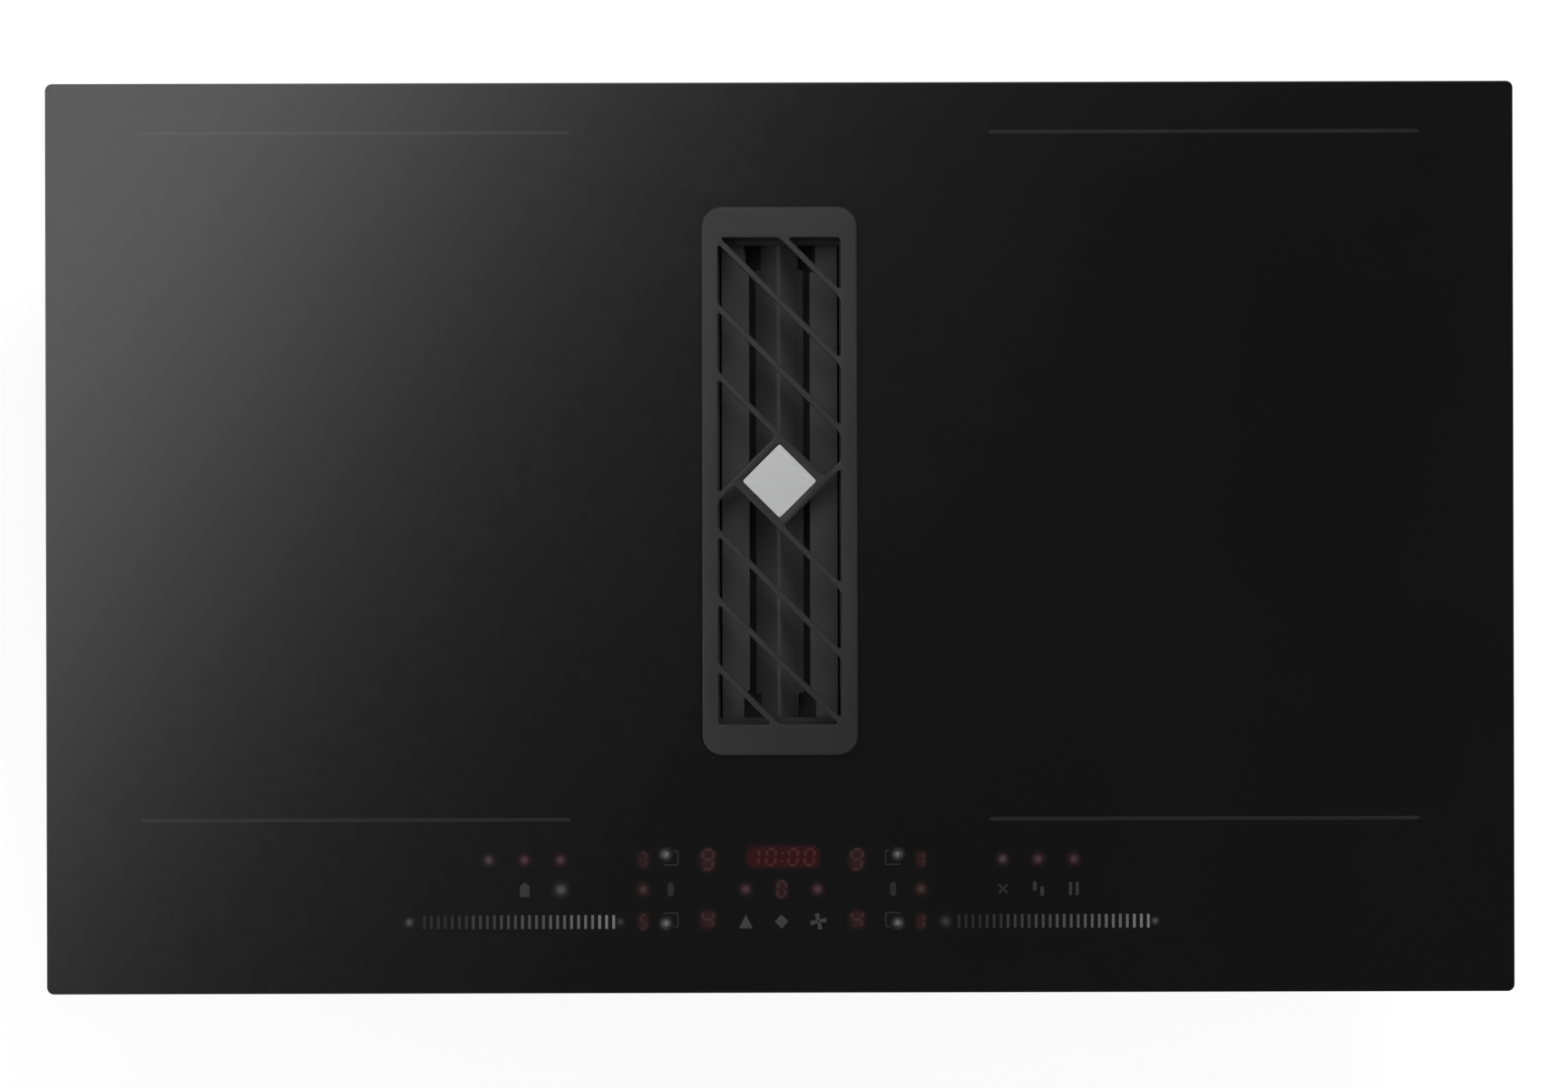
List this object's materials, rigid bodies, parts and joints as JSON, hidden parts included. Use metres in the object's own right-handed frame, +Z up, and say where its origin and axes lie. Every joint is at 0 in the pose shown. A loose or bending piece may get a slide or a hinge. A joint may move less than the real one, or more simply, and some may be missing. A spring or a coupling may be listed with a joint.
{
  "type": "downdraft induction cooktop",
  "caption": "Built-in induction cooktop with a flat glass top, a central slatted downdraft vent, a grease filter and a blower housing underneath.",
  "frame": {"origin": "under the middle of the glass, level with the underside of the blower housing", "axes": "+X to the right seen from the user, +Y to the rear, +Z up"},
  "size_m": [0.83, 0.515, 0.207],
  "materials": {
    "glass": "polished black glass-ceramic",
    "seal": "black foam",
    "grille": "dark grey powder coat",
    "inlay": "satin",
    "filter": "dark anodised",
    "tray": "satin",
    "sheet_steel": "galvanised",
    "motor": "plated",
    "aluminium": "mill finish",
    "black_plastic": "moulded",
    "grey_plastic": "moulded",
    "white_plastic": "moulded",
    "copper": "enamelled litz wire",
    "insulation": "mica felt",
    "board": "solder mask"
  },
  "bodies": {
    "chassis": {"glass_top": "glass", "rim_seal": "seal", "base_pan": "sheet_steel", "vent_collar": "black_plastic", "intake_duct": "black_plastic", "duct_gasket": "seal", "insulation_sheet_left": "insulation", "coil_shelf_left": "aluminium", "power_board_left": "board", "heatsink_left": "aluminium", "fan_frame_left": "black_plastic", "coil_carrier_front_left": "black_plastic", "coil_winding_front_left": "copper", "temperature_probe_front_left": "white_plastic", "fixing_clip_front_left": "sheet_steel", "coil_carrier_rear_left": "black_plastic", "coil_winding_rear_left": "copper", "temperature_probe_rear_left": "white_plastic", "fixing_clip_rear_left": "sheet_steel", "insulation_sheet_right": "insulation", "coil_shelf_right": "aluminium", "power_board_right": "board", "heatsink_right": "aluminium", "fan_frame_right": "black_plastic", "coil_carrier_front_right": "black_plastic", "coil_winding_front_right": "copper", "temperature_probe_front_right": "white_plastic", "fixing_clip_front_right": "sheet_steel", "coil_carrier_rear_right": "black_plastic", "coil_winding_rear_right": "copper", "temperature_probe_rear_right": "white_plastic", "fixing_clip_rear_right": "sheet_steel", "mains_filter_board": "board", "control_carrier": "white_plastic", "touch_board": "board", "blower_lower_shell": "black_plastic", "volute_plate": "grey_plastic", "blower_upper_shell": "black_plastic", "outlet_spigot": "grey_plastic", "inlet_mouth": "grey_plastic", "motor_stator": "motor", "terminal_box": "grey_plastic", "terminal_block": "white_plastic", "terminal_hinge_pin": "sheet_steel", "cable_gland": "black_plastic"},
    "tray": {"drip_tray": "tray"},
    "filter": {"filter_frame": "filter", "filter_ridge_baffle": "filter", "filter_baffle_left": "filter", "filter_baffle_right": "filter", "grease_trough_left": "filter", "grease_trough_right": "filter"},
    "grille": {"vent_grille": "grille", "grille_inlay": "inlay"},
    "blower_rotor": {"impeller": "grey_plastic", "motor_rotor": "motor", "motor_shaft": "motor"},
    "cooling_rotor_left": {"fan_rotor_left": "grey_plastic"},
    "cooling_rotor_right": {"fan_rotor_right": "grey_plastic"},
    "cover": {"terminal_cover": "grey_plastic"}
  },
  "joints": [
    {"name": "tray_lift", "type": "slide", "parent": "chassis", "child": "tray", "axis": [0, 0, 1], "range_m": [0, 0.22]},
    {"name": "filter_lift", "type": "slide", "parent": "tray", "child": "filter", "axis": [0, 0, 1], "range_m": [0, 0.06]},
    {"name": "grille_lift", "type": "slide", "parent": "filter", "child": "grille", "axis": [0, 0, 1], "range_m": [0, 0.03]},
    {"name": "blower_spin", "type": "hinge", "parent": "chassis", "child": "blower_rotor", "pos_m": [-0.17228, -0.005, 0.02], "axis": [0, 0, 1], "continuous": true},
    {"name": "cooling_spin_left", "type": "hinge", "parent": "chassis", "child": "cooling_rotor_left", "pos_m": [-0.34, -0.11, 0.155], "axis": [0, 0, 1], "continuous": true},
    {"name": "cooling_spin_right", "type": "hinge", "parent": "chassis", "child": "cooling_rotor_right", "pos_m": [0.34, -0.11, 0.155], "axis": [0, 0, 1], "continuous": true},
    {"name": "cover_hinge", "type": "hinge", "parent": "chassis", "child": "cover", "pos_m": [0.262, 0.2145, 0.1372], "axis": [1, 0, 0], "range_deg": [0, 85]}
  ]
}
